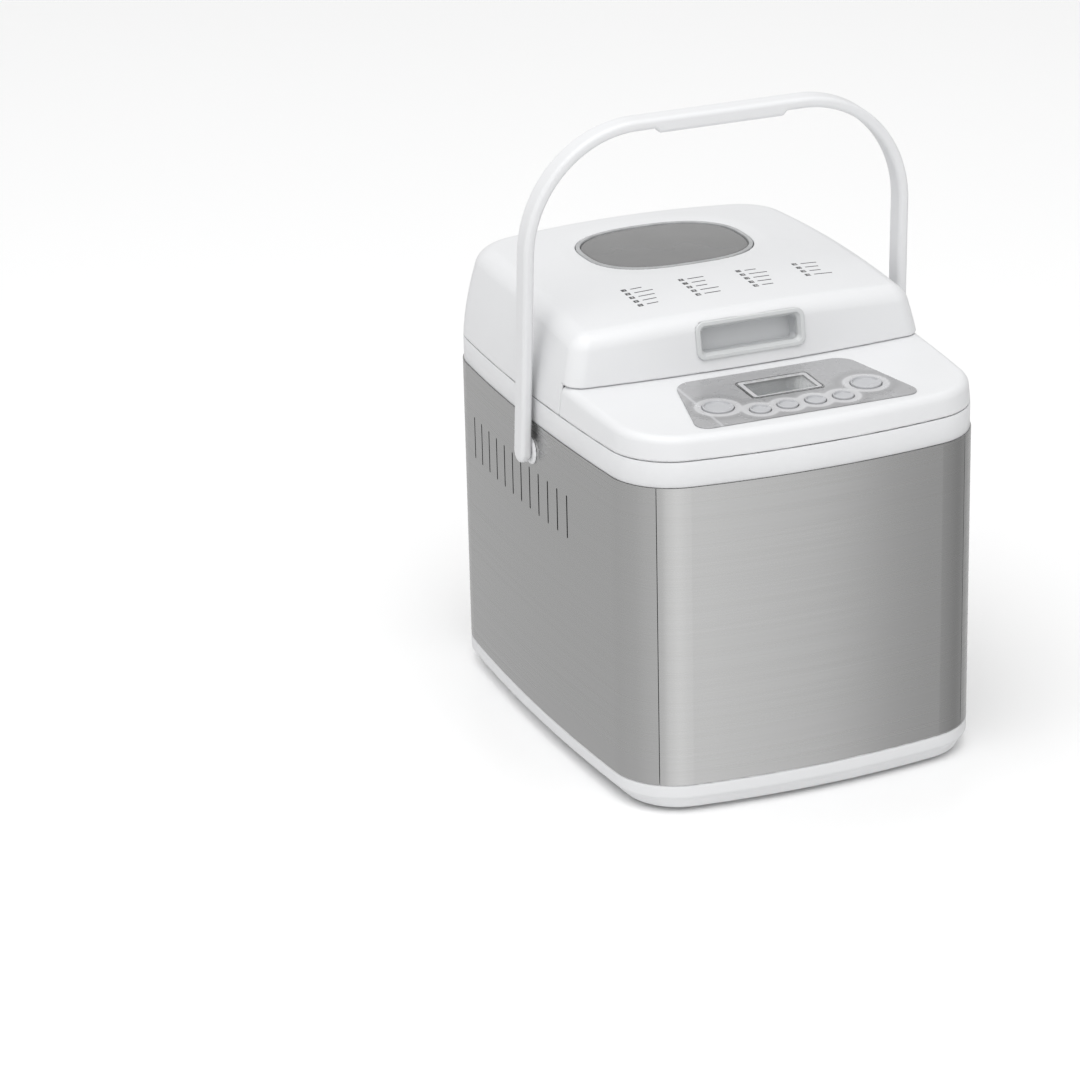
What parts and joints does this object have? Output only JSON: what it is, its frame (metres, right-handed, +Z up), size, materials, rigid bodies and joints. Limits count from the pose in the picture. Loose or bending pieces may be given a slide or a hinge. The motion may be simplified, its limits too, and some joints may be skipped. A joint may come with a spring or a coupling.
{
  "type": "bread machine",
  "caption": "Compact steel-clad bread machine with domed hinged lid, control deck, carry handle, twist-lock pan and belt-driven paddle",
  "frame": {"origin": "on the surface it stands on, under the middle of its overall width and depth", "axes": "+Z up, the control deck faces -Y, +X to the user's right as they face the deck"},
  "size_m": [0.2792, 0.336, 0.42],
  "materials": {
    "white_plastic": "satin white moulding",
    "brushed_steel": "horizontal brushed grain",
    "zinc": "zinc plated",
    "oven_steel": "coated sheet",
    "aluminium": "pressed aluminium",
    "pan_coating": "dark non-stick coating",
    "steel_shaft": "turned and ground",
    "motor_steel": "lacquered can",
    "bronze": "sintered",
    "element": "dark sheath",
    "rubber": "matt",
    "seal_grey": "satin",
    "smoked_glass": "smoked",
    "clear_lens": "clear",
    "display": "grey liquid crystal cell",
    "circuit": "solder mask",
    "black_plastic": "moulded",
    "white_ceramic": "ceramic",
    "pale_grey": "fine satin",
    "mid_grey": "fine satin",
    "silver_film": "silver-grey film",
    "button_grey": "silver-grey, moulded"
  },
  "bodies": {
    "casing": {"base_tray": "white_plastic", "rubber_feet": "rubber", "chassis_screws": "zinc", "chassis_plate": "zinc", "front_panel": "brushed_steel", "rear_panel": "brushed_steel", "left_side_panel": "brushed_steel", "right_side_panel": "brushed_steel", "upper_rim": "white_plastic", "deck_housing": "white_plastic", "hinge_pins": "zinc", "control_overlay": "silver_film", "display_window": "clear_lens", "display_module": "display", "control_board": "circuit", "pivot_bosses": "white_plastic", "pivot_pins": "zinc", "handle_brackets": "zinc", "chamber_liner": "oven_steel", "heating_element": "element", "element_clips": "oven_steel", "temperature_sensor": "zinc", "thermal_fuse": "white_ceramic", "heat_shield": "zinc", "chamber_legs": "zinc", "bearing_housing": "aluminium", "bearing_bush": "bronze", "drive_belt": "rubber", "motor_housing": "motor_steel", "motor_bracket": "zinc", "power_board": "circuit", "cord_gland": "rubber", "pan_socket": "aluminium"},
    "lid": {"lid_outer_shell": "white_plastic", "lid_inner_shell": "aluminium", "lid_window": "smoked_glass", "window_seal": "seal_grey", "lid_grip_frame": "pale_grey", "lid_grip_cup": "mid_grey", "lid_screws": "zinc"},
    "handle": {"carry_handle": "white_plastic"},
    "drive": {"drive_shaft": "steel_shaft", "large_pulley": "black_plastic", "drive_coupling": "steel_shaft"},
    "motor_rotor": {"motor_shaft": "steel_shaft", "motor_fan": "black_plastic", "motor_pulley": "steel_shaft"},
    "pan": {"pan_body": "pan_coating", "pan_base_ring": "aluminium", "pan_bush": "bronze"},
    "paddle": {"pan_shaft": "steel_shaft", "wing_coupling": "steel_shaft", "kneading_paddle": "pan_coating"},
    "bail": {"pan_bail": "steel_shaft"},
    "button_start": {"button_start": "button_grey"},
    "button_menu": {"button_menu": "button_grey"},
    "button_crust": {"button_crust": "button_grey"},
    "button_time_down": {"button_time_down": "button_grey"},
    "button_time_up": {"button_time_up": "button_grey"},
    "button_loaf_size": {"button_loaf_size": "button_grey"}
  },
  "joints": [
    {"name": "lid_hinge", "type": "hinge", "parent": "casing", "child": "lid", "pos_m": [0, 0.1653, 0.216], "axis": [-1, 0, 0], "range_deg": [0, 92]},
    {"name": "carry_handle_pivot", "type": "hinge", "parent": "casing", "child": "handle", "pos_m": [0, -0.0038, 0.2026], "axis": [-1, 0, 0], "range_deg": [-86, 94]},
    {"name": "drive_spin", "type": "hinge", "parent": "casing", "child": "drive", "pos_m": [0, 0.05, 0.03], "axis": [0, 0, 1], "continuous": true},
    {"name": "motor_spin", "type": "hinge", "parent": "casing", "child": "motor_rotor", "pos_m": [0, -0.108, 0.03], "axis": [0, 0, 1], "continuous": true},
    {"name": "pan_twist", "type": "hinge", "parent": "casing", "child": "pan", "pos_m": [0, 0.05, 0.09], "axis": [0, 0, 1], "range_deg": [0, 15]},
    {"name": "paddle_spin", "type": "hinge", "parent": "pan", "child": "paddle", "pos_m": [0, 0.05, 0.1], "axis": [0, 0, 1], "continuous": true},
    {"name": "pan_bail_pivot", "type": "hinge", "parent": "pan", "child": "bail", "pos_m": [0, 0.05, 0.2265], "axis": [-1, 0, 0], "range_deg": [0, 180]},
    {"name": "button_start_press", "type": "slide", "parent": "casing", "child": "button_start", "axis": [0, 0.045, -0.999], "range_m": [0, 0.0008], "stiffness_N_per_m": 400},
    {"name": "button_menu_press", "type": "slide", "parent": "casing", "child": "button_menu", "axis": [0, 0.045, -0.999], "range_m": [0, 0.0008], "stiffness_N_per_m": 400},
    {"name": "button_crust_press", "type": "slide", "parent": "casing", "child": "button_crust", "axis": [0, 0.045, -0.999], "range_m": [0, 0.0008], "stiffness_N_per_m": 400},
    {"name": "button_time_down_press", "type": "slide", "parent": "casing", "child": "button_time_down", "axis": [0, 0.045, -0.999], "range_m": [0, 0.0008], "stiffness_N_per_m": 400},
    {"name": "button_time_up_press", "type": "slide", "parent": "casing", "child": "button_time_up", "axis": [0, 0.045, -0.999], "range_m": [0, 0.0008], "stiffness_N_per_m": 400},
    {"name": "button_loaf_size_press", "type": "slide", "parent": "casing", "child": "button_loaf_size", "axis": [0, 0.045, -0.999], "range_m": [0, 0.0008], "stiffness_N_per_m": 400}
  ],
  "couplings": [
    {"joint": "motor_spin", "follows": "drive_spin", "ratio": 6},
    {"joint": "paddle_spin", "follows": "drive_spin", "ratio": 1}
  ]
}
